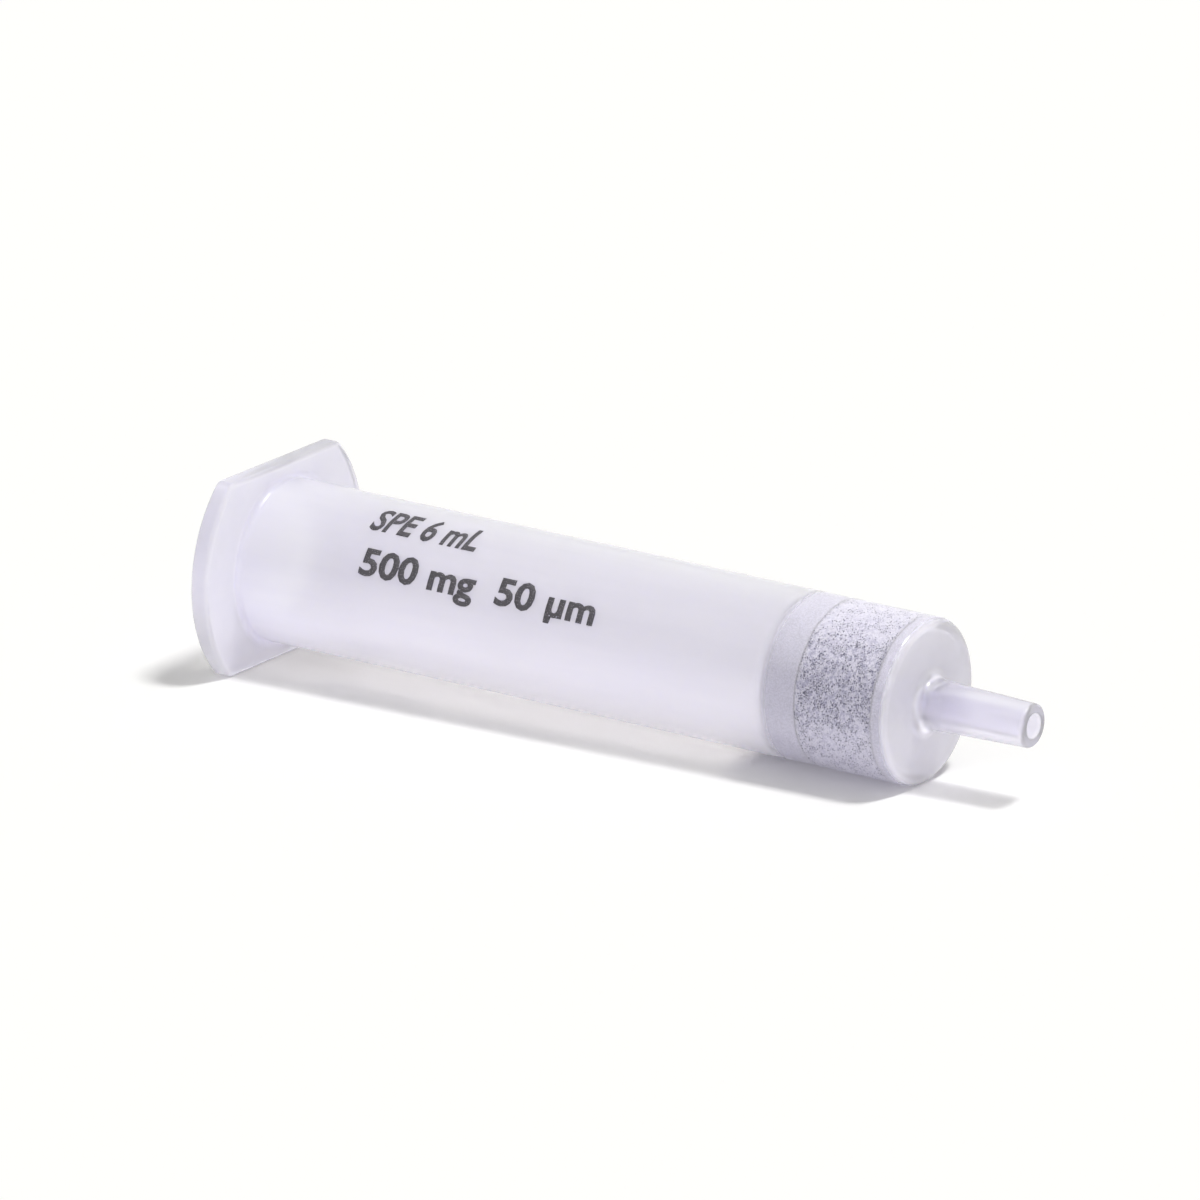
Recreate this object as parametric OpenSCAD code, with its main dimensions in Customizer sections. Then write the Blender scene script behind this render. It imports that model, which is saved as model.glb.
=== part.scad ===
// Solid phase extraction cartridge, 6 mL size: a syringe-style polypropylene barrel
// that holds a packed sorbent bed between two porous frits.
// Lengths are in millimetres. The cartridge lies on its side on the plane z = 0,
// on one flat of its flange and on its outlet end, with the outlet tip towards +X.

/* [Barrel] */
// Outer diameter of the tube
barrel_d = 15.2; // [14.4:0.1:16.6]
// Length from the flange's open face to the end wall's outer face
barrel_l = 70.9; // [66:0.1:80]
// Thickness of the tube's wall along the reservoir
wall_t = 1.1; // [0.9:0.05:1.4]
// Thickness of the end wall, measured where the lower frit rests on it
floor_t = 0.9; // [0.6:0.05:1.6]
// Radius of the outer corner between the tube and the end wall
shoulder_r = 0.8; // [0.4:0.05:1.2]
// Radius of the rounded lead-in at the bore's mouth
mouth_r = 0.9; // [0.3:0.05:1.2]

/* [Flange] */
// Diameter of the finger flange
flange_d = 24.9; // [22:0.1:28]
// Distance between the flange's two flats
flange_flats = 18.4; // [17.8:0.1:21]
// Thickness of the flange
flange_t = 1.8; // [1.4:0.1:2.6]
// Radius of the flange's edge on the barrel side
rim_r = 0.45; // [0.2:0.05:0.6]
// Radius of the flange's edge on the open side
lip_r = 0.25; // [0.1:0.05:0.5]
// Radius of the four corners between the flats and the round sides
flange_corner_r = 1.0; // [0.5:0.1:2]
// Radius of the fillet where the tube meets the flange
root_r = 0.5; // [0.2:0.05:0.8]

/* [Outlet tip] */
// Length of the tip beyond the end wall
tip_l = 10.8; // [8:0.1:14]
// Diameter of the tip at its end, before its edge is rounded
tip_end_d = 3.99; // [3.9:0.01:4.03]
// Growth of the tip's diameter for each millimetre towards the end wall
tip_taper = 0.06; // [0.05:0.005:0.08]
// Radius of the tip's end edge
tip_edge_r = 0.35; // [0.1:0.05:0.5]
// Radius of the fillet where the tip meets the end wall
tip_fillet_r = 1.1; // [0.4:0.1:1.6]
// Diameter of the outlet passage
outlet_d = 2.3; // [1.8:0.1:2.6]

/* [Packing] */
// How much narrower than the reservoir the packed end of the bore is, to grip the frits
seat_grip = 0.1; // [0.05:0.05:0.4]
// Length over which the bore narrows from the reservoir to the packed end
seat_lead = 1.2; // [0.8:0.1:3]
// Thickness of the upper frit
top_frit_t = 3.6; // [1.6:0.1:5]
// Depth of the sorbent bed
bed_depth = 7.9; // [3:0.1:25]
// Thickness of the lower frit
bottom_frit_t = 0.9; // [0.6:0.1:3.2]
// Size of the small chamfer around both faces of a frit
frit_chamfer = 0.15; // [0.05:0.05:0.3]
// Gap left all round between the packing and the bore
packing_clearance = 0.02; // [0.01:0.01:0.05]

/* [End wall inside] */
// Width of the flat ledge that carries the lower frit's rim
ledge_w = 0.9; // [0.5:0.1:2]
// Depth of the shallow dish that gathers the liquid under the lower frit
dish_depth = 0.3; // [0.1:0.05:0.4]

/* [Hidden] */
$fn = 96;

barrel_colour = [0.87, 0.86, 0.93];
frit_colour = [0.96, 0.96, 0.96];
bed_colour = [0.72, 0.72, 0.76];

// Small overlap that keeps cutting shapes clear of shared faces
eps = 0.01;

barrel_r = barrel_d / 2;
bore_r = barrel_r - wall_t;
seat_r = bore_r - seat_grip / 2;
flange_r = flange_d / 2;
flat_x = flange_flats / 2;
outlet_r = outlet_d / 2;
packing_r = seat_r - packing_clearance;

// Heights along the cartridge's own axis, from the flange's open face
floor_z = barrel_l - floor_t;
bed_end_z = floor_z - bottom_frit_t;
bed_start_z = bed_end_z - bed_depth;
top_frit_z = bed_start_z - top_frit_t;
seat_end_z = top_frit_z - seat_lead;
tip_end_z = barrel_l + tip_l;

// Outlet tip: a cone whose side leans by tip_lean, with a rounded end and a fillet at its root
tip_end_r = tip_end_d / 2;
tip_lean = atan(tip_taper / 2);
function tip_radius(z) = tip_end_r + (tip_end_z - z) * tip_taper / 2;
tip_edge_z = tip_end_z - tip_edge_r;
tip_edge_x = tip_radius(tip_edge_z) - tip_edge_r / cos(tip_lean);
tip_fillet_z = barrel_l + tip_fillet_r;
tip_fillet_x = tip_radius(tip_fillet_z) + tip_fillet_r / cos(tip_lean);

// The point where an arc of radius r about [x, z] meets the side of the tip, on its outer (+1) or inner (-1) side
function on_tip_side(x, z, r, side) = [x + side * r * cos(tip_lean), z + side * r * sin(tip_lean)];

// Lying down: the flange's rounded edge and the barrel's shoulder touch the same plane
contact_dx = (flat_x - rim_r) - (barrel_r - shoulder_r);
contact_dz = (barrel_l - shoulder_r) - (flange_t - rim_r);
rest_tilt = acos((shoulder_r - rim_r) / norm([contact_dx, contact_dz])) - atan2(contact_dz, contact_dx);
lay_z = (flat_x - rim_r) * cos(rest_tilt) + (flange_t - rim_r) * sin(rest_tilt) + rim_r;
lay_x = -(tip_end_z * cos(rest_tilt) + (tip_end_r - flat_x) * sin(rest_tilt)) / 2;

// Lays the upright cartridge on its side, with the flange's flats above and below
module lay_down() {
    translate([lay_x, 0, lay_z])
        rotate([0, 90 + rest_tilt, 0])
            children();
}

// Region between a square corner at [x, z] and the arc of radius r that rounds it.
// dx and dz point from the corner towards the arc's centre.
module corner_waste(x, z, r, dx, dz) {
    difference() {
        translate([x + dx * (r - eps) / 2, z + dz * (r - eps) / 2])
            square([r + eps, r + eps], center = true);
        translate([x + dx * r, z + dz * r])
            circle(r);
    }
}

// A rectangle from [x0, z0] to [x1, z1]
module block_2d(x0, z0, x1, z1) {
    translate([x0, z0])
        square([x1 - x0, z1 - z0]);
}

// Half section of the tube and its closed end
module tube_section() {
    difference() {
        block_2d(0, 0, barrel_r, barrel_l);
        corner_waste(barrel_r, barrel_l, shoulder_r, -1, -1);
    }
    corner_waste(barrel_r, flange_t, root_r, 1, 1);
}

// Half section of the tip
module tip_section() {
    root = on_tip_side(tip_fillet_x, tip_fillet_z, tip_fillet_r, -1);
    edge = on_tip_side(tip_edge_x, tip_edge_z, tip_edge_r, 1);
    polygon([
        [0, barrel_l - floor_t / 2],
        [tip_radius(barrel_l), barrel_l - floor_t / 2],
        [tip_radius(barrel_l), barrel_l],
        edge,
        [tip_edge_x, tip_edge_z],
        [tip_edge_x, tip_end_z],
        [0, tip_end_z]
    ]);
    translate([tip_edge_x, tip_edge_z])
        circle(tip_edge_r);
    difference() {
        polygon([
            [tip_radius(barrel_l) - eps, barrel_l - floor_t / 2],
            [tip_fillet_x, barrel_l - floor_t / 2],
            [tip_fillet_x, tip_fillet_z],
            root,
            [tip_radius(barrel_l) - eps, barrel_l]
        ]);
        translate([tip_fillet_x, tip_fillet_z])
            circle(tip_fillet_r);
    }
}

// Half section of the bore, from its rounded mouth through the packed end to the outlet
module bore_section() {
    polygon([
        [0, -eps],
        [bore_r, -eps],
        [bore_r, seat_end_z],
        [seat_r, top_frit_z],
        [seat_r, floor_z],
        [seat_r - ledge_w, floor_z],
        [outlet_r, floor_z + dish_depth],
        [outlet_r, tip_end_z + eps],
        [0, tip_end_z + eps]
    ]);
    corner_waste(bore_r, 0, mouth_r, 1, 1);
}

// Outline of the flange: a disc with two flats and softened corners
module flange_outline() {
    corner_x = flat_x - flange_corner_r;
    corner_y = sqrt(pow(flange_r - flange_corner_r, 2) - pow(corner_x, 2));
    // far enough along each edge of the cut to be outside the disc
    far = 3;
    difference() {
        intersection() {
            circle(flange_r);
            square([flange_flats, far * flange_d], center = true);
        }
        for (sx = [-1, 1], sy = [-1, 1])
            polygon([
                [sx * corner_x, sy * corner_y],
                [sx * far * flange_r, sy * corner_y],
                [sx * far * corner_x, sy * far * corner_y]
            ]);
    }
    for (sx = [-1, 1], sy = [-1, 1])
        translate([sx * corner_x, sy * corner_y])
            circle(flange_corner_r);
}

// Section across a plate of half width w, with rounded edges on its two faces
module plate_section(w) {
    difference() {
        block_2d(-w, 0, w, flange_t);
        for (side = [-1, 1]) {
            corner_waste(side * w, 0, lip_r, -side, 1);
            corner_waste(side * w, flange_t, rim_r, -side, -1);
        }
    }
}

module flange() {
    intersection() {
        linear_extrude(flange_t)
            flange_outline();
        rotate_extrude()
            intersection() {
                plate_section(flange_r);
                block_2d(0, 0, flange_r, flange_t);
            }
        rotate([90, 0, 0])
            linear_extrude(flange_d + 2, center = true)
                plate_section(flat_x);
    }
}

// One moulding: flange, tube, end wall and outlet tip
module barrel() {
    color(barrel_colour)
        lay_down()
            difference() {
                union() {
                    flange();
                    rotate_extrude() {
                        tube_section();
                        tip_section();
                    }
                }
                rotate_extrude()
                    bore_section();
            }
}

// A disc of the packing between two heights, with a small chamfer around both faces
module packed_disc(z0, z1, chamfer) {
    rotate_extrude()
        polygon([
            [0, z0],
            [packing_r - chamfer, z0],
            [packing_r, z0 + chamfer],
            [packing_r, z1 - chamfer],
            [packing_r - chamfer, z1],
            [0, z1]
        ]);
}

module top_frit() {
    color(frit_colour)
        lay_down()
            packed_disc(top_frit_z, bed_start_z, frit_chamfer);
}

module sorbent_bed() {
    color(bed_colour)
        lay_down()
            translate([0, 0, bed_start_z])
                cylinder(r = packing_r, h = bed_depth);
}

module bottom_frit() {
    color(frit_colour)
        lay_down()
            packed_disc(bed_end_z, floor_z, frit_chamfer);
}

barrel();
top_frit();
sorbent_bed();
bottom_frit();
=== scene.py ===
import math

import bmesh
import bpy
from mathutils import Matrix, Vector


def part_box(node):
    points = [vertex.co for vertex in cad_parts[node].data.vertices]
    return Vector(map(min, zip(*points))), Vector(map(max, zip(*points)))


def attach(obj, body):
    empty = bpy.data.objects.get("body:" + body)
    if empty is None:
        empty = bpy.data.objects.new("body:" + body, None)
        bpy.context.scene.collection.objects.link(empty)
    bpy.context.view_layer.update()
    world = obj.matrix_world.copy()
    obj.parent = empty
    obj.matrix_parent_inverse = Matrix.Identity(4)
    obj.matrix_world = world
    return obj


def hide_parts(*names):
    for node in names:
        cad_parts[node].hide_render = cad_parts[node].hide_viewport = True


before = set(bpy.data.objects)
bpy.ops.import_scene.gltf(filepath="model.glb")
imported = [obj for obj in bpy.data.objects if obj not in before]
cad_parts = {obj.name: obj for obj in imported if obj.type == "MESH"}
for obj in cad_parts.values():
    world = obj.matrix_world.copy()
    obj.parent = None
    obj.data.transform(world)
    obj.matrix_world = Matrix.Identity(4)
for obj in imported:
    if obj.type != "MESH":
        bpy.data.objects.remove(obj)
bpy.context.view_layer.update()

mm = 0.001
print("stage: frame loaded,", len(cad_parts), "solids")


# One socket of a tree. Arithmetic on it adds Math nodes to the same tree.
class Wire:
    def __init__(self, tree, socket):
        self.tree = tree
        self.socket = socket

    def maths(self, operation, *values):
        return self.tree.node("ShaderNodeMath", {"operation": operation}, dict(enumerate(values)))

    def __add__(self, other):
        return self.maths("ADD", self, other)

    def __radd__(self, other):
        return self.maths("ADD", other, self)

    def __sub__(self, other):
        return self.maths("SUBTRACT", self, other)

    def __rsub__(self, other):
        return self.maths("SUBTRACT", other, self)

    def __mul__(self, other):
        return self.maths("MULTIPLY", self, other)

    def __rmul__(self, other):
        return self.maths("MULTIPLY", other, self)

    def __pow__(self, other):
        return self.maths("POWER", self, other)

    # goes smoothly from 0 at low to 1 at high, where high may be the smaller of the two
    def between(self, low, high):
        return self.tree.node(
            "ShaderNodeMapRange", {"interpolation_type": "SMOOTHSTEP"}, {"Value": self, 1: low, 2: high}
        )

    # this value where share is 0, and the other where it is 1
    def toward(self, other, share):
        return self + (other - self) * share


# A node tree that is written from Python. Settings come first, then values or wires for the sockets.
class Tree:
    def __init__(self, tree):
        self.tree = tree

    def node(self, kind, settings=None, sockets=None, output=0):
        made = self.tree.nodes.new(kind)
        for name, value in (settings or {}).items():
            setattr(made, name, value)
        for name, value in (sockets or {}).items():
            if isinstance(value, Wire):
                self.tree.links.new(value.socket, made.inputs[name])
            else:
                made.inputs[name].default_value = value
        return Wire(self, made.outputs[output]) if made.outputs else made

    # another output of the node that a wire comes from
    def also(self, wire, output):
        return Wire(self, wire.socket.node.outputs[output])


def newMaterial(name):
    material = bpy.data.materials.new(name)
    material.use_nodes = True
    material.node_tree.nodes.clear()
    return material, Tree(material.node_tree)


def noise(tree, place, scale, detail=2.0, roughness=0.5):
    sockets = {"Vector": place, "Scale": scale, "Detail": detail, "Roughness": roughness}
    return tree.node("ShaderNodeTexNoise", {}, sockets)


def blendColours(tree, factor, first, second):
    settings = {"data_type": "RGBA"}
    sockets = {0: factor, 6: first, 7: second}  # a Mix node's colour sockets, with output 2
    return tree.node("ShaderNodeMix", settings, sockets, 2)


def finishSurface(tree, shader):
    tree.node("ShaderNodeOutputMaterial", {}, {"Surface": shader})


# Heights along the cartridge's axis, in millimetres from the flange's open face
packing = {
    "topFritStart": 57.6,
    "bedStart": 61.2,
    "bedEnd": 69.1,
    "bottomFritEnd": 70.0,
    "radius": 6.48,  # pressed a little into the bore's wall, which then shows the packing without a gap
}


def centreOf(node):
    low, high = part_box(node)
    return (low + high) / 2


# Both frits are discs on the axis, so the line between their centres is the axis
topCentre = centreOf("top_frit")
axis = (centreOf("bottom_frit") - topCentre).normalized()
openFace = topCentre - axis * (packing["topFritStart"] + packing["bedStart"]) / 2 * mm
tilt = math.asin(-axis.z)
lyingTurn = Matrix.Rotation(math.radians(90) + tilt, 4, "Y")
# Takes the upright cartridge, in millimetres, to the lying one in metres
layDown = Matrix.Translation(openFace) @ lyingTurn @ Matrix.Scale(mm, 4)


def addObject(name, data):
    thing = bpy.data.objects.new(name, data)
    bpy.context.scene.collection.objects.link(thing)
    return thing


# The mesh that an object's curve or modifiers give
def finishedMesh(thing):
    bpy.context.view_layer.update()
    return bpy.data.meshes.new_from_object(thing.evaluated_get(bpy.context.evaluated_depsgraph_get()))


# A closed surface through rings of points. With cap its two ends are closed, otherwise the last ring
# meets the first.
def loft(name, rings, cap=False):
    shape = bmesh.new()
    rows = [[shape.verts.new(point) for point in ring] for ring in rings]
    pairs = list(zip(rows, rows[1:]))
    if cap:
        shape.faces.new(rows[0])
        shape.faces.new(rows[-1])
    else:
        pairs.append((rows[-1], rows[0]))
    for one, two in pairs:
        for i in range(len(one)):
            j = (i + 1) % len(one)
            shape.faces.new((one[i], one[j], two[j], two[i]))
    bmesh.ops.recalc_face_normals(shape, faces=shape.faces)
    for face in shape.faces:
        face.smooth = True
    shape.transform(layDown)
    mesh = bpy.data.meshes.new(name)
    shape.to_mesh(mesh)
    shape.free()
    return mesh


# The moulding's sizes, in millimetres, are those of its solid. Only the bore is softer, with a longer
# lead and small rounded edges.
barrel = {
    "radius": 7.6,
    "length": 70.9,
    "boreRadius": 6.5,
    "seatRadius": 6.45,  # the bore's packed end, a little narrower
    "seatLead": 8.0,  # length over which the bore narrows to that
    "shoulder": 0.8,
    "mouth": 0.9,
    "flangeRadius": 12.45,
    "flangeFlat": 9.2,  # from the axis to each flat
    "flangeThickness": 1.8,
    "flangeCorner": 1.0,
    "rim": 0.45,
    "lip": 0.25,
    "root": 0.5,
    "tipLength": 10.8,
    "tipEndRadius": 1.995,
    "tipTaper": 0.03,  # radius gained for each millimetre towards the end wall
    "tipEdge": 0.35,
    "tipFillet": 1.1,
    "outletRadius": 1.15,
    "outletEdge": 0.12,
    "ledge": 0.9,
    "dish": 0.3,
    "dishEdge": 0.2,
    "seatCorner": 0.1,
    "seatBlend": 3.0,  # softens both ends of the lead, so that nothing glints there
    "sides": 192,
    "cornerSides": 6,
    "cornerGap": 1.6,  # how far the even sides stay from a corner, in spacings of the corner's own
    "arcStep": 11,  # degrees, about, for each facet of a rounded edge
    "guard": 0.05,  # how close a ring stands beside each rounded edge, so that flat parts shade flat
}


# Distance from the axis to the flange's outline, drawn in by inset, in the direction of angle
def flangeReach(angle, inset):
    across, up = abs(math.cos(angle)), abs(math.sin(angle))
    corner = barrel["flangeCorner"]
    cornerX = barrel["flangeFlat"] - corner
    cornerY = math.sqrt((barrel["flangeRadius"] - corner) ** 2 - cornerX**2)
    flat = barrel["flangeFlat"] - inset
    if up * flat <= cornerY * across:
        return flat / across
    if up * cornerX >= cornerY * across:
        return barrel["flangeRadius"] - inset
    along = across * cornerX + up * cornerY
    return along + math.sqrt(along**2 - cornerX**2 - cornerY**2 + (corner - inset) ** 2)


# Evenly spaced angles, with more of them around the flange's four corners. The even ones that would
# crowd a corner are left out.
def ringAngles():
    cornerX = barrel["flangeFlat"] - barrel["flangeCorner"]
    cornerY = math.sqrt((barrel["flangeRadius"] - barrel["flangeCorner"]) ** 2 - cornerX**2)
    first = math.atan2(cornerY, barrel["flangeFlat"])
    last = math.atan2(cornerY, cornerX)
    spare = (last - first) / barrel["cornerSides"]
    quarter = [first - spare + i * spare for i in range(barrel["cornerSides"] + 3)]
    even = [math.tau * i / barrel["sides"] for i in range(barrel["sides"] // 4 + 1)]
    gap = barrel["cornerGap"] * spare
    quarter += [a for a in even if not first - gap < a < last + gap]
    quarter.sort()
    half = quarter + [math.pi - a for a in reversed(quarter[:-1])]
    return half + [math.tau - a for a in reversed(half[1:-1])]


# Rounds each corner of a closed section. A corner is (along, out, radius, is on the flange's outline).
def roundSection(corners):
    stations = []
    for i, (along, out, radius, onOutline) in enumerate(corners):
        here = Vector((along, out))
        before = (Vector(corners[i - 1][:2]) - here).normalized()
        after = (Vector(corners[(i + 1) % len(corners)][:2]) - here).normalized()
        opening = before.angle(after)
        reach = radius / math.tan(opening / 2)
        centre = here + (before + after).normalized() * radius / math.sin(opening / 2)
        start = here + before * reach - centre
        sweep = math.copysign(math.pi - opening, -before.cross(after))
        steps = max(2, round(abs(math.degrees(sweep)) / barrel["arcStep"]))
        arc = [centre + Matrix.Rotation(sweep * k / steps, 2) @ start for k in range(steps + 1)]
        arc.insert(0, arc[0] + before * barrel["guard"])
        arc.append(arc[-1] + after * barrel["guard"])
        stations += [(*point, onOutline) for point in arc]
    return stations


# The barrel's section, from the rounded mouth round the outside and back through the bore
def barrelRings():
    b = barrel
    tipEnd = b["length"] + b["tipLength"]
    tipRoot = b["tipEndRadius"] + b["tipLength"] * b["tipTaper"]
    seat = b["seatRadius"]
    floorStart = packing["bottomFritEnd"]
    corners = [
        (0, b["boreRadius"], b["mouth"], False),
        (0, b["flangeRadius"], b["lip"], True),
        (b["flangeThickness"], b["flangeRadius"], b["rim"], True),
        (b["flangeThickness"], b["radius"], b["root"], False),
        (b["length"], b["radius"], b["shoulder"], False),
        (b["length"], tipRoot, b["tipFillet"], False),
        (tipEnd, b["tipEndRadius"], b["tipEdge"], False),
        (tipEnd, b["outletRadius"], b["outletEdge"], False),
        (floorStart + b["dish"], b["outletRadius"], b["dishEdge"], False),
        (floorStart, seat - b["ledge"], b["dishEdge"], False),
        (floorStart, seat, b["seatCorner"], False),
        (packing["topFritStart"], seat, b["seatBlend"], False),
        (packing["topFritStart"] - b["seatLead"], b["boreRadius"], b["seatBlend"], False),
    ]
    angles = ringAngles()
    rings = []
    for along, out, onOutline in roundSection(corners):
        inset = b["flangeRadius"] - out
        reaches = [flangeReach(a, inset) if onOutline else out for a in angles]
        rings.append([(r * math.cos(a), r * math.sin(a), along) for r, a in zip(reaches, angles)])
    return rings


polypropylene = {
    "colour": (0.92, 0.905, 0.995, 1.0),
    "milkColour": (0.89, 0.875, 0.985, 1.0),
    "milkColourEnd": (0.865, 0.845, 1.0, 1.0),  # of the end wall and the tip
    "mouthPaintedShade": 0.045,  # painted shade: how much darker the plastic's colour is made towards the open mouth, where the lamps light it brightly
    "streakScale": (60, 700, 700),  # faint streaks along the tube
    "streakSpread": (0.35, 0.65),
    "streakDepth": 0.015,
    "hazeScale": 220.0,
    "hazeRelief": 0.06,
    "hazeReliefDepth": 0.02,  # mm
    "hazeRoughness": 0.08,  # how much the roughness varies
    "ior": 1.49,
    "roughness": 0.2,
    "roughnessPacked": 0.1,  # around the packing, where the wall blurs less
    "scatter": (1.0, 1.0, 1.1),  # relative depths for red, green and blue
    "scatterDepth": 1.2,  # mm
    "milk": 0.55,  # share of the light that the reservoir's wall scatters
    "milkMouth": 0.8,  # the same close to the open mouth
    "milkPacked": 0.06,  # the same where the wall fits close around the packing
    "milkFlange": 0.6,
    "milkEnd": 0.64,  # in the end wall
    "milkTip": 0.3,
    "milkTipEnd": 0.35,
    "milkEdge": 0.25,  # how much more where the wall is seen along its surface
    "lampsThrough": 0.65,  # share of lamp light that each surface lets through, seen square on
    "lampsThroughEdge": 0.33,  # and seen along the surface
    "lampsThroughFlange": 0.4,  # how much of that is left in the flange, where light has far to go
    "lampsThroughTip": 0.75,  # and in the tip
    "lampsThroughPacked": 0.97,  # share let through around the packing, seen square on
    "lampsBlocked": (0.44, 0.58),  # facing between which the wall around the packing stops lamp light
    "lampsColour": (1.0, 0.99, 0.95, 1.0),
}

# Millimetres along the axis, or out from it for the flange, over which one look changes into the next
changes = {
    "mouth": (15.0, 5.0),
    "packed": (57.3, 58.9),
    "flange": (7.7, 8.5),
    "end": (70.3, 70.9),
    "tip": (70.9, 71.8),
    "tipEnd": (81.2, 81.6),
    "packedEnd": (70.9, 70.2),
    "blockedEnd": (71.2, 70.9),
}


# Millimetres along the cartridge's axis and out from it, at each point of a piece
def axisPlace(tree, place):
    offset = tree.node("ShaderNodeVectorMath", {"operation": "SUBTRACT"}, {0: place, 1: openFace})
    pair = {0: offset, 1: axis}
    along = tree.node("ShaderNodeVectorMath", {"operation": "DOT_PRODUCT"}, pair, "Value")
    across = tree.node("ShaderNodeVectorMath", {"operation": "CROSS_PRODUCT"}, pair)
    out = tree.node("ShaderNodeVectorMath", {"operation": "LENGTH"}, {0: across}, "Value")
    return along * (1 / mm), out * (1 / mm)


# Share of the milky plastic at each point
def milkiness(tree, along, out):
    p = polypropylene
    edge = tree.node("ShaderNodeLayerWeight", {}, {"Blend": 0.5}, "Facing")
    milk = p["milk"] + p["milkEdge"] * edge**4
    milk = milk.toward(p["milkMouth"], along.between(*changes["mouth"]))
    milk = milk.toward(p["milkPacked"], along.between(*changes["packed"]))
    milk = milk.toward(p["milkFlange"], out.between(*changes["flange"]))
    milk = milk.toward(p["milkEnd"], along.between(*changes["end"]))
    milk = milk.toward(p["milkTip"], along.between(*changes["tip"]))
    return milk.toward(p["milkTipEnd"], along.between(*changes["tipEnd"]))


# Share of lamp light that a surface lets through, so that the pale tube casts a pale shadow. Square on,
# the wall around the packing lets nearly all of it reach the packing, and it stops what only grazes it.
def lampShare(tree, along, out, atPacking):
    p = polypropylene
    edge = tree.node("ShaderNodeLayerWeight", {}, {"Blend": 0.5}, "Facing")
    share = p["lampsThrough"] - (p["lampsThrough"] - p["lampsThroughEdge"]) * edge**2
    share = share * (1 - (1 - p["lampsThroughFlange"]) * out.between(*changes["flange"]))
    share = share * (1 - (1 - p["lampsThroughTip"]) * along.between(*changes["tip"]))
    share = share.toward(p["lampsThroughPacked"], atPacking)
    blocked = along.between(*changes["packed"]) * along.between(*changes["blockedEnd"])
    return share * (1 - blocked * edge.between(*p["lampsBlocked"]))


# Clear and milky plastic, mixed. Light that leaves the plastic meets the clear one alone.
def makePolypropylene():
    material, tree = newMaterial("milkyPolypropylene")
    p = polypropylene
    place = tree.node("ShaderNodeTexCoord", {}, {}, "Object")
    along, out = axisPlace(tree, place)
    atPacking = along.between(*changes["packed"]) * along.between(*changes["packedEnd"])
    haze = noise(tree, place, p["hazeScale"], 4.0)
    relief = {"Strength": p["hazeRelief"], "Distance": p["hazeReliefDepth"] * mm, "Height": haze}
    roughness = p["roughness"] - (p["roughness"] - p["roughnessPacked"]) * atPacking
    skin = {
        "Roughness": roughness - p["hazeRoughness"] / 2 + p["hazeRoughness"] * haze,
        "Normal": tree.node("ShaderNodeBump", {}, relief),
        "IOR": p["ior"],
    }
    scatter = {
        "Subsurface Weight": 1.0,
        "Subsurface Radius": p["scatter"],
        "Subsurface Scale": p["scatterDepth"] * mm,
    }
    drawn = tree.node("ShaderNodeMapping", {}, {"Vector": place, "Scale": p["streakScale"]})
    streaks = noise(tree, drawn, 1.0, 3.0)
    shade = 1 - p["streakDepth"] * streaks.between(*p["streakSpread"])
    # painted shade: the colour is darkened towards the open mouth, where the lamps light the plastic
    # brightly
    shade = shade - p["mouthPaintedShade"] * along.between(*changes["mouth"])
    milkColour = blendColours(tree, along.between(*changes["end"]), p["milkColour"], p["milkColourEnd"])
    clearShaded, milkShaded = [
        tree.node("ShaderNodeVectorMath", {"operation": "SCALE"}, {0: colour, "Scale": shade})
        for colour in (p["colour"][:3], milkColour)
    ]
    clear = tree.node(
        "ShaderNodeBsdfPrincipled", {}, {**skin, "Base Color": clearShaded, "Transmission Weight": 1.0}
    )
    milky = tree.node(
        "ShaderNodeBsdfPrincipled", {"subsurface_method": "RANDOM_WALK"},
        {**skin, **scatter, "Base Color": milkShaded},
    )
    entering = 1 - tree.node("ShaderNodeNewGeometry", {}, {}, "Backfacing")
    share = entering * milkiness(tree, along, out)
    plastic = tree.node("ShaderNodeMixShader", {}, {0: share, 1: clear, 2: milky})
    lamps = tree.node("ShaderNodeBsdfTransparent", {}, {"Color": p["lampsColour"]})
    isShadow = tree.node("ShaderNodeLightPath", {}, {}, "Is Shadow Ray")
    through = isShadow * lampShare(tree, along, out, atPacking)
    finishSurface(tree, tree.node("ShaderNodeMixShader", {}, {0: through, 1: plastic, 2: lamps}))
    return material


barrelPiece = addObject("barrelMoulding", loft("barrelMoulding", barrelRings()))
barrelPiece.data.materials.append(makePolypropylene())
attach(barrelPiece, "root")
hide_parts("barrel")
print("stage: barrel,", len(barrelPiece.data.polygons), "faces")


frit = {
    "colour": (0.79, 0.78, 0.85, 1.0),
    "pore": (0.68, 0.67, 0.73, 1.0),
    "poreScale": 5200.0,
    "poreSpread": (0.35, 0.75),  # how far from a bead's middle the pores begin and are full
    "poreDepth": 0.8,
    "cloudScale": 900.0,
    "cloudDepth": 0.3,
    "roughness": 0.75,
    "relief": 0.5,
    "reliefDepth": 0.04,  # mm
    "scatterDepth": 0.5,  # mm
    "edge": 0.015,  # mm, radius of the discs' edges, the bed's too
    "edgeSteps": 4,
    "faceRing": 0.5,  # where a ring runs on each face, as a share of the radius
    "sides": 160,
    "rows": 14,
}

bed = {
    "powder": (0.865, 0.855, 0.92, 1.0),
    "shade": (0.5, 0.49, 0.62, 1.0),
    "finesScale": 3600.0,
    "finesRoughness": 0.75,
    "clumpScale": 1900.0,
    "clumpDepth": 0.4,
    "shadeSpread": (0.62, 0.84),  # how strong fines and clumps are where the shade begins
    "roughness": 0.9,
    "relief": 0.6,
    "reliefDepth": 0.05,  # mm
    "scatterDepth": 0.5,  # mm
    "sink": 0.01,  # mm by which the powder is slimmer than the frits
    "sides": 180,
    "rows": 24,
    "beltTop": (3.6, 6.8),  # mm above the axis, between which the dark grains and the powder's shade become fewer, as painted light
    "beltFoot": (0.5, -3.5),  # the same towards the lower side
    "paintedLightAbove": 0.65,  # painted light: share of the dark grains and of the powder's shade that is left out above the belt, so that the top reads lighter
    "paintedLightBelow": 0.55,
}


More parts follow.
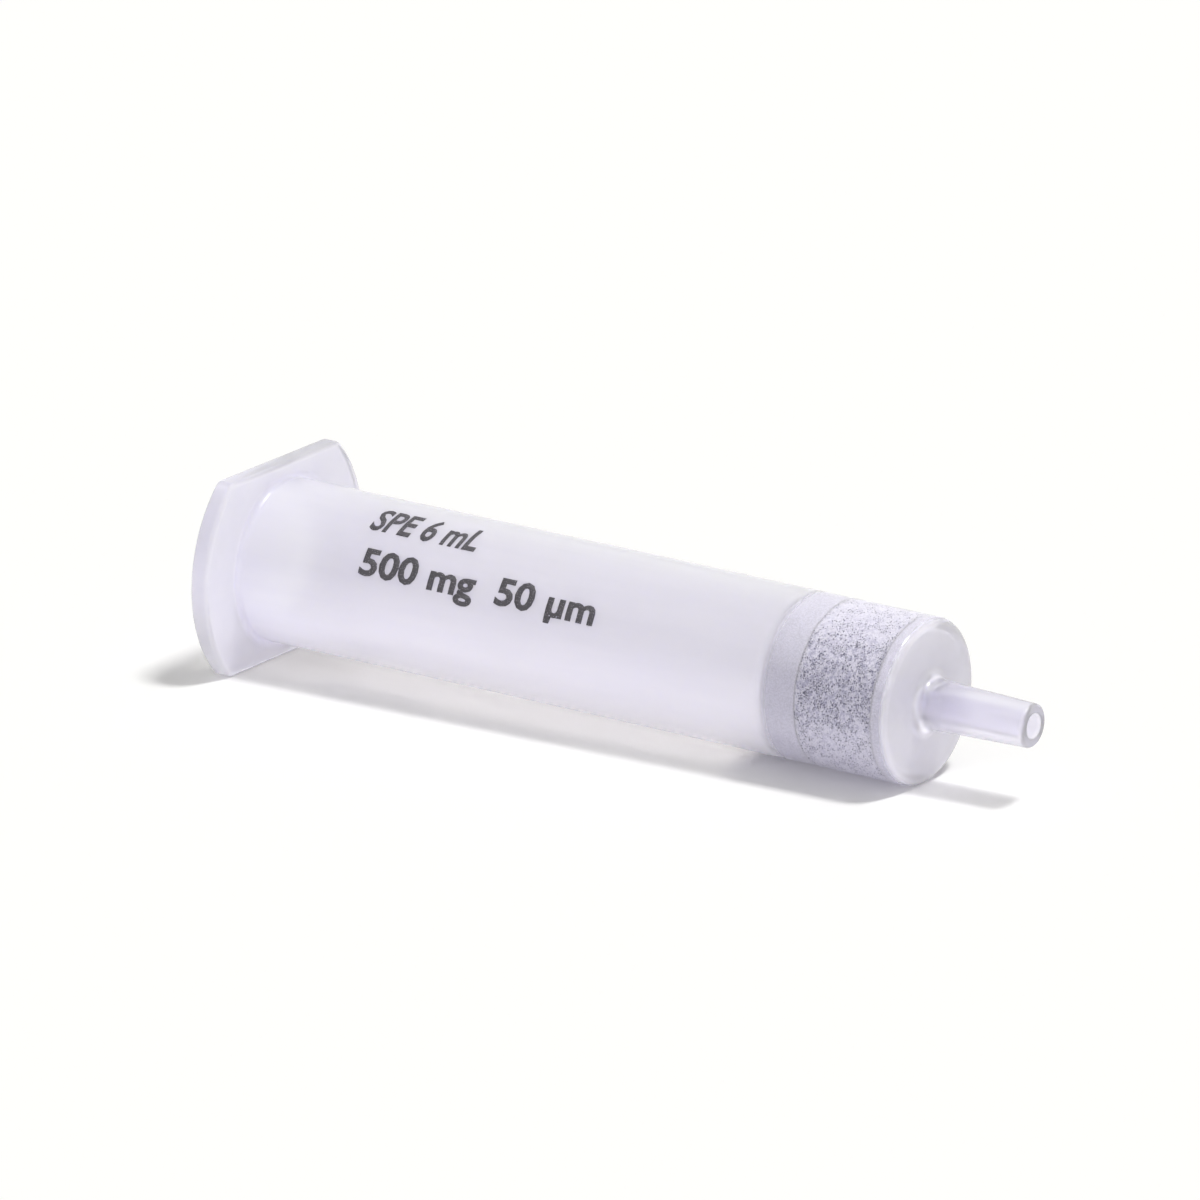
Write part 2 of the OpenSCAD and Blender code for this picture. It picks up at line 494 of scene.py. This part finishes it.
# Rings of a disc between two heights, with its two edges rounded off
def discRings(start, end, radius, edge, sides, rows):
    stations = [(start, radius * frit["faceRing"])]
    for k in range(frit["edgeSteps"], -1, -1):
        angle = math.radians(90 * k / frit["edgeSteps"])
        stations.append((start + edge * (1 - math.sin(angle)), radius - edge * (1 - math.cos(angle))))
    middle = [(start + edge + (end - start - 2 * edge) * i / rows, radius) for i in range(1, rows)]
    mirrored = [(start + end - along, out) for along, out in reversed(stations)]
    rings = []
    for along, out in stations + middle + mirrored:
        angles = [math.tau * i / sides for i in range(sides)]
        rings.append([(out * math.cos(a), out * math.sin(a), along) for a in angles])
    return rings


# A chalky surface that lets light in and scatters it
def finishChalky(tree, values, colour, height):
    relief = {"Strength": values["relief"], "Distance": values["reliefDepth"] * mm, "Height": height}
    sockets = {
        "Base Color": colour,
        "Roughness": values["roughness"],
        "Normal": tree.node("ShaderNodeBump", {}, relief),
        "Subsurface Weight": 1.0,
        "Subsurface Radius": (1.0, 1.0, 1.0),
        "Subsurface Scale": values["scatterDepth"] * mm,
    }
    finishSurface(tree, tree.node("ShaderNodeBsdfPrincipled", {}, sockets))


def makeFritMaterial():
    material, tree = newMaterial("sinteredPolyethylene")
    place = tree.node("ShaderNodeTexCoord", {}, {}, "Object")
    beads = tree.node("ShaderNodeTexVoronoi", {}, {"Vector": place, "Scale": frit["poreScale"]})
    cloud = noise(tree, place, frit["cloudScale"], 3.0)
    pores = beads.between(*frit["poreSpread"]) * frit["poreDepth"] + frit["cloudDepth"] * cloud
    finishChalky(tree, frit, blendColours(tree, pores, frit["colour"], frit["pore"]), 1 - beads)
    return material


# How dense the dark grains and the powder's shade lie at a height above the axis: all of them in a belt
# along the bed's side, fewer above and below it. This is painted light: the top and the lower side are
# made lighter, as light falls on them.
def belt(height):
    above = bed["paintedLightAbove"] * height.between(*[edge * mm for edge in bed["beltTop"]])
    below = bed["paintedLightBelow"] * height.between(*[edge * mm for edge in bed["beltFoot"]])
    return 1 - above - below


def makePowderMaterial():
    material, tree = newMaterial("sorbentPowder")
    place = tree.node("ShaderNodeTexCoord", {}, {}, "Object")
    fines = noise(tree, place, bed["finesScale"], 3.0, bed["finesRoughness"])
    clumps = noise(tree, place, bed["clumpScale"], 3.0)
    dark = (fines + bed["clumpDepth"] * clumps).between(*bed["shadeSpread"])
    height = tree.node("ShaderNodeSeparateXYZ", {}, {0: place}, "Z") - centreOf("sorbent_bed").z
    # painted light: the powder's shade thins out above and below the belt
    finishChalky(tree, bed, blendColours(tree, dark * belt(height), bed["powder"], bed["shade"]), fines)
    return material


# A disc of the packing between two heights. The dictionary says how finely it is divided.
def addDisc(name, node, start, end, radius, values, material):
    rings = discRings(start, end, radius, frit["edge"], values["sides"], values["rows"])
    piece = addObject(name, loft(name, rings, cap=True))
    piece.data.materials.append(material)
    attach(piece, "root")
    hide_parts(node)


fritMaterial = makeFritMaterial()
addDisc(
    "topFritDisc", "top_frit", packing["topFritStart"], packing["bedStart"],
    packing["radius"], frit, fritMaterial,
)
addDisc(
    "bottomFritDisc", "bottom_frit", packing["bedEnd"], packing["bottomFritEnd"],
    packing["radius"], frit, fritMaterial,
)
powderRadius = packing["radius"] - bed["sink"]
addDisc(
    "sorbentPowder", "sorbent_bed", packing["bedStart"], packing["bedEnd"],
    powderRadius, bed, makePowderMaterial(),
)
print("stage: packing")


grains = {
    "count": 13000,  # before the belt thins them out
    "overfill": 2.2,  # more to begin with, because the gaps between clumps take some away
    "size": (0.03, 0.085),  # mm, half of a grain's length
    "shape": (0.75, 0.6),  # width and thickness, as shares of the length
    "skew": 2.0,  # above 1, small grains are more common than large ones
    "clumpScale": 1300.0,
    "clumpSpread": (0.35, 0.7),
    "margin": 0.05,  # mm, about, that stay free at both ends of the bed's side
    "colour": (0.05, 0.05, 0.11, 1.0),
    "sheen": (0.15, 0.145, 0.25, 1.0),
    "speckleScale": 6000.0,
    "roughness": 0.55,
    "roughnessRise": 0.2,
    "seed": 7,
}


def makeGrainMaterial():
    material, tree = newMaterial("carbonGrains")
    place = tree.node("ShaderNodeTexCoord", {}, {}, "Object")
    speckle = noise(tree, place, grains["speckleScale"])
    colour = blendColours(tree, speckle, grains["colour"], grains["sheen"])
    roughness = grains["roughness"] + grains["roughnessRise"] * speckle
    sockets = {"Base Color": colour, "Roughness": roughness}
    finishSurface(tree, tree.node("ShaderNodeBsdfPrincipled", {}, sockets))
    return material


# Geometry Nodes: scatters flattened grains over the powder's round side
def grainTree():
    group = bpy.data.node_groups.new("scatterGrains", "GeometryNodeTree")
    group.is_modifier = True
    for name, kind in (
        ("Powder", "NodeSocketGeometry"),
        ("Density", "NodeSocketFloat"),
        ("Smallest", "NodeSocketFloat"),
        ("Largest", "NodeSocketFloat"),
        ("Clump Scale", "NodeSocketFloat"),
        ("Axis Height", "NodeSocketFloat"),
        ("Seed", "NodeSocketInt"),
        ("Material", "NodeSocketMaterial"),
    ):
        group.interface.new_socket(name, in_out="INPUT", socket_type=kind)
    group.interface.new_socket("Grains", in_out="OUTPUT", socket_type="NodeSocketGeometry")
    tree = Tree(group)
    powder = tree.node("NodeGroupInput")
    inputs = [item for item in group.interface.items_tree if item.in_out == "INPUT"]
    given = {item.name: tree.also(powder, item.name) for item in inputs}
    position = tree.node("GeometryNodeInputPosition")
    clump = noise(tree, position, given["Clump Scale"], 2.0)
    height = tree.node("ShaderNodeSeparateXYZ", {}, {0: position}, "Z") - given["Axis Height"]
    # painted light: the grains thin out above and below the belt
    density = given["Density"] * clump.between(*grains["clumpSpread"]) * belt(height)
    points = tree.node(
        "GeometryNodeDistributePointsOnFaces",
        {"distribute_method": "RANDOM"},
        {"Mesh": powder, "Density": density, "Seed": given["Seed"]},
    )
    grain = tree.node("GeometryNodeMeshIcoSphere", {}, {"Radius": 1.0, "Subdivisions": 1})
    # a Random Value node's numbers go in at 2 and 3 and come out at 1
    size = tree.node(
        "FunctionNodeRandomValue", {"data_type": "FLOAT"},
        {2: 0.0, 3: 1.0, "Seed": given["Seed"]}, 1,
    ) ** grains["skew"]
    length = given["Smallest"] + (given["Largest"] - given["Smallest"]) * size
    width, thickness = [length * share for share in grains["shape"]]
    squash = tree.node("ShaderNodeCombineXYZ", {}, {"X": length, "Y": width, "Z": thickness})
    spin = tree.node(
        "FunctionNodeRandomValue", {"data_type": "FLOAT"},
        {2: 0.0, 3: math.tau, "Seed": given["Seed"] + 1}, 1,
    )
    turned = tree.node(
        "FunctionNodeRotateRotation", {"rotation_space": "LOCAL"},
        {0: tree.also(points, "Rotation"), 1: tree.node("ShaderNodeCombineXYZ", {}, {"Z": spin})},
    )
    placed = tree.node(
        "GeometryNodeInstanceOnPoints", {},
        {"Points": points, "Instance": grain, "Rotation": turned, "Scale": squash},
    )
    real = tree.node("GeometryNodeRealizeInstances", {}, {"Geometry": placed})
    sockets = {"Geometry": real, "Material": given["Material"]}
    painted = tree.node("GeometryNodeSetMaterial", {}, sockets)
    tree.node("NodeGroupOutput", {}, {"Grains": painted})
    return group


# Runs a Geometry Nodes tree on a copy of a mesh and returns the result as a plain mesh
def runTree(name, mesh, group, values):
    carrier = addObject(name, mesh)
    modifier = carrier.modifiers.new("nodes", "NODES")
    modifier.node_group = group
    for item in group.interface.items_tree:
        if item.in_out == "INPUT" and item.name in values:
            modifier[item.identifier] = values[item.name]
    result = finishedMesh(carrier)
    bpy.data.objects.remove(carrier)
    result.name = name
    return result


# The powder's round side alone, without its two faces
def powderSide():
    heights = packing["bedStart"], packing["bedEnd"]
    rings = discRings(*heights, powderRadius, grains["margin"], bed["sides"], bed["rows"])
    mesh = loft("powderSide", rings, cap=True)
    shape = bmesh.new()
    shape.from_mesh(mesh)
    ends = [face for face in shape.faces if abs(face.normal.dot(axis)) > 0.5]
    bmesh.ops.delete(shape, geom=ends, context="FACES")
    shape.to_mesh(mesh)
    shape.free()
    return mesh


sideArea = math.tau * powderRadius * (packing["bedEnd"] - packing["bedStart"]) * mm * mm
grainValues = {
    "Density": grains["overfill"] * grains["count"] / sideArea,
    "Smallest": grains["size"][0] * mm,
    "Largest": grains["size"][1] * mm,
    "Clump Scale": grains["clumpScale"],
    "Axis Height": centreOf("sorbent_bed").z,
    "Seed": grains["seed"],
    "Material": makeGrainMaterial(),
}
grainMesh = runTree("carbonGrains", powderSide(), grainTree(), grainValues)
grainPiece = addObject("carbonGrains", grainMesh)
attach(grainPiece, "root")
print("stage: grains,", len(grainMesh.polygons), "faces")


# The print gives the volume and the filling, in two lines along the tube's side
ink = {
    "colour": (0.075, 0.07, 0.08, 1.0),
    "dots": (0.3, 0.28, 0.31, 1.0),  # fine paler dots all over the ink
    "dotScale": 6500.0,
    "dotRandomness": 0.6,
    "dotSpread": (0.12, 0.3),
    "roughness": 0.6,
    "thickness": 0.012,  # mm
    "lift": 0.002,  # mm between the plastic and the ink
    "step": 0.2,  # mm, width of the strips that let the lettering bend
    "curveSteps": 3,
    "weld": 0.001,  # mm, points closer than this become one
}

# Each line starts so many millimetres from the flange's open face, and so many degrees up around the
# tube from its near side. Its width is a factor.
printLines = [
    {
        "text": "SPE 6 mL", "start": 13.7, "angle": 56.0,
        "size": 4.0, "weight": 0.09, "slant": 0.12, "width": 0.76,
    },
    {
        "text": "500 mg  50 µm", "start": 14.5, "angle": 22.5,
        "size": 3.5, "weight": 0.1, "slant": 0.0, "width": 1.19,
    },
]


def makeInk():
    material, tree = newMaterial("printInk")
    place = tree.node("ShaderNodeTexCoord", {}, {}, "Object")
    raster = {"Vector": place, "Scale": ink["dotScale"], "Randomness": ink["dotRandomness"]}
    dots = tree.node("ShaderNodeTexVoronoi", {}, raster)
    colour = blendColours(tree, 1 - dots.between(*ink["dotSpread"]), ink["colour"], ink["dots"])
    sockets = {"Base Color": colour, "Roughness": ink["roughness"]}
    finishSurface(tree, tree.node("ShaderNodeBsdfPrincipled", {}, sockets))
    return material


# Flat lettering in millimetres, cut into strips so that it can bend around the tube
def letterMesh(line):
    curve = bpy.data.curves.new("lettering", "FONT")
    curve.body = line["text"]
    curve.size = line["size"]
    curve.shear = line["slant"]
    curve.offset = line["weight"]
    curve.resolution_u = ink["curveSteps"]
    holder = addObject("lettering", curve)
    mesh = finishedMesh(holder)
    bpy.data.objects.remove(holder)
    shape = bmesh.new()
    shape.from_mesh(mesh)
    bmesh.ops.remove_doubles(shape, verts=shape.verts, dist=ink["weld"])
    low = min(v.co.y for v in shape.verts)
    high = max(v.co.y for v in shape.verts)
    for k in range(1, int((high - low) / ink["step"]) + 1):
        bmesh.ops.bisect_plane(
            shape, geom=[*shape.verts, *shape.edges, *shape.faces],
            plane_co=(0, low + k * ink["step"], 0), plane_no=(0, 1, 0), dist=ink["weld"] / 2,
        )
    return shape


# Bends one line of lettering around the tube and lays it down with the cartridge
def wrapLetters(line):
    shape = letterMesh(line)
    radius = barrel["radius"] + ink["lift"]
    for vert in shape.verts:
        angle = math.radians(line["angle"]) + vert.co.y / radius
        along = line["start"] + vert.co.x * line["width"]
        vert.co = (-radius * math.sin(angle), -radius * math.cos(angle), along)
    shape.transform(layDown)
    return shape


# The whole print as one thin piece of ink
def makePrint():
    whole = bmesh.new()
    for line in printLines:
        shape = wrapLetters(line)
        part = bpy.data.meshes.new("line")
        shape.to_mesh(part)
        shape.free()
        whole.from_mesh(part)
    whole.normal_update()
    # every letter faces away from the axis
    for face in whole.faces:
        out = face.calc_center_median() - openFace
        if face.normal.dot(out - axis * out.dot(axis)) < 0:
            face.normal_flip()
    mesh = bpy.data.meshes.new("volumePrint")
    whole.to_mesh(mesh)
    whole.free()
    piece = addObject("volumePrint", mesh)
    solid = piece.modifiers.new("thickness", "SOLIDIFY")
    solid.thickness = ink["thickness"] * mm
    solid.offset = 1.0
    finished = finishedMesh(piece)
    piece.modifiers.clear()
    piece.data = finished
    finished.materials.append(makeInk())
    return piece


printPiece = makePrint()
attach(printPiece, "root")
print("stage: print,", len(printPiece.data.polygons), "faces")


studio = {
    "floorSize": 6.0,  # m
    "floorColour": (0.95, 0.945, 0.925, 1.0),
    "floorLift": 0.05,  # light added to the floor where it is looked at, so that it reads as white
    "skyColour": (1.0, 1.0, 1.0, 1.0),
    "ambient": 0.4,  # at the horizon
    "ambientRise": 0.06,  # more towards the top
}

keyLamp = {
    "power": 0.6,
    "colour": (1.0, 1.0, 1.0),
    "direction": (0.30, 0.11, 0.92),
    "angle": 11.0,  # degrees
}

# The floor is a lit table: this lamp shines up through it
tableLamp = {
    "power": 0.42,
    "colour": (0.92, 0.91, 1.0),
    "direction": (0.55, -0.72, -0.5),
    "angle": 60.0,
}

camera = {
    "aim": (-3.826, -1.187, 11.559),  # mm
    "azimuth": 33.65,  # degrees
    "elevation": 17.04,
    "distance": 993.7,  # mm
    "lens": 333.94,
    "sensor": 36.0,
    "reach": 20.0,  # m, how far away it still sees things
}


# 1 where the camera looks, straight or by way of gloss and glass, and 0 for light that falls on things
def lookedAt(tree):
    path = tree.node("ShaderNodeLightPath", {}, {}, "Is Camera Ray")
    seen = path.maths("MAXIMUM", path, tree.also(path, "Is Glossy Ray"))
    seen = seen.maths("MAXIMUM", seen, tree.also(path, "Is Transmission Ray"))
    return seen * seen.maths("LESS_THAN", tree.also(path, "Diffuse Depth"), 0.5)


def makeFloor():
    half = studio["floorSize"] / 2
    mesh = bpy.data.meshes.new("floor")
    corners = [(-half, -half, 0), (half, -half, 0), (half, half, 0), (-half, half, 0)]
    mesh.from_pydata(corners, [], [(0, 1, 2, 3)])
    floor = addObject("floor", mesh)
    material, tree = newMaterial("paleFloor")
    paper = tree.node("ShaderNodeBsdfDiffuse", {}, {"Color": studio["floorColour"]})
    glow = tree.node("ShaderNodeEmission", {}, {"Strength": lookedAt(tree) * studio["floorLift"]})
    finishSurface(tree, tree.node("ShaderNodeAddShader", {}, {0: paper, 1: glow}))
    mesh.materials.append(material)
    floor.visible_shadow = False  # the table's lamp reaches the cartridge from underneath


def makeWorld():
    world = bpy.data.worlds.new("studio")
    bpy.context.scene.world = world
    world.use_nodes = True
    world.node_tree.nodes.clear()
    tree = Tree(world.node_tree)
    direction = tree.node("ShaderNodeTexCoord", {}, {}, "Generated")
    upward = tree.node("ShaderNodeSeparateXYZ", {}, {0: direction}, "Z")
    ambient = studio["ambient"] + studio["ambientRise"] * upward.maths("MAXIMUM", upward, 0)
    ambient = ambient * upward.maths("GREATER_THAN", upward, 0)  # below, the table's lamp stands in
    strength = ambient + lookedAt(tree) * (1 - ambient)
    sky = tree.node("ShaderNodeBackground", {}, {"Color": studio["skyColour"], "Strength": strength})
    tree.node("ShaderNodeOutputWorld", {}, {"Surface": sky})


# A far lamp. Its power is the light that it gives to a white surface facing it.
def makeLamp(name, values):
    lamp = bpy.data.lights.new(name, "SUN")
    lamp.color = values["colour"]
    lamp.angle = math.radians(values["angle"])
    lamp.energy = values["power"] * math.pi
    thing = addObject(name, lamp)
    thing.rotation_euler = Vector(values["direction"]).to_track_quat("Z", "Y").to_euler()
    thing.visible_transmission = False  # lamp light goes through the plastic as its material says


def makeCamera():
    azimuth, elevation = math.radians(camera["azimuth"]), math.radians(camera["elevation"])
    back = Vector((
        math.sin(azimuth) * math.cos(elevation),
        -math.cos(azimuth) * math.cos(elevation),
        math.sin(elevation),
    ))
    data = bpy.data.cameras.new("camera")
    data.lens = camera["lens"]
    data.sensor_width = camera["sensor"]
    data.clip_end = camera["reach"]
    view = addObject("camera", data)
    view.location = (Vector(camera["aim"]) + back * camera["distance"]) * mm
    view.rotation_euler = back.to_track_quat("Z", "Y").to_euler()
    bpy.context.scene.camera = view


makeFloor()
makeWorld()
makeLamp("key", keyLamp)
makeLamp("table", tableLamp)
makeCamera()
bpy.context.scene.view_settings.view_transform = "Standard"
print("stage: studio")
